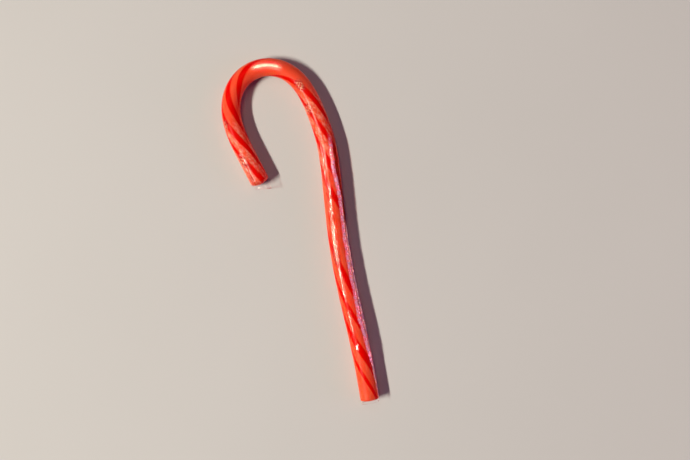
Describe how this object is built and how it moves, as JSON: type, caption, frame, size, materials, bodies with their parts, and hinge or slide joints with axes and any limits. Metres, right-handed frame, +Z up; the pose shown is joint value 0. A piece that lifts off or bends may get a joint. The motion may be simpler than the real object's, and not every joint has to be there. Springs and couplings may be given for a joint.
{
  "type": "candy cane",
  "caption": "Wrapped candy cane: a striped pulled-sugar rod bent into a crook, in a tight clear film sleeve, lying on its side.",
  "frame": {"origin": "middle of the bounding box, on the surface the cane lies on", "axes": "+Y along the shaft towards the crook, +X to the side away from the crook's tip, +Z up"},
  "size_m": [0.047, 0.1536, 0.0083],
  "materials": {
    "candy": "glossy pulled sugar, coral with red twisted stripes",
    "film": "clear glossy wrapping film"
  },
  "bodies": {
    "root": {"candy_cane": "candy"}
  },
  "joints": []
}
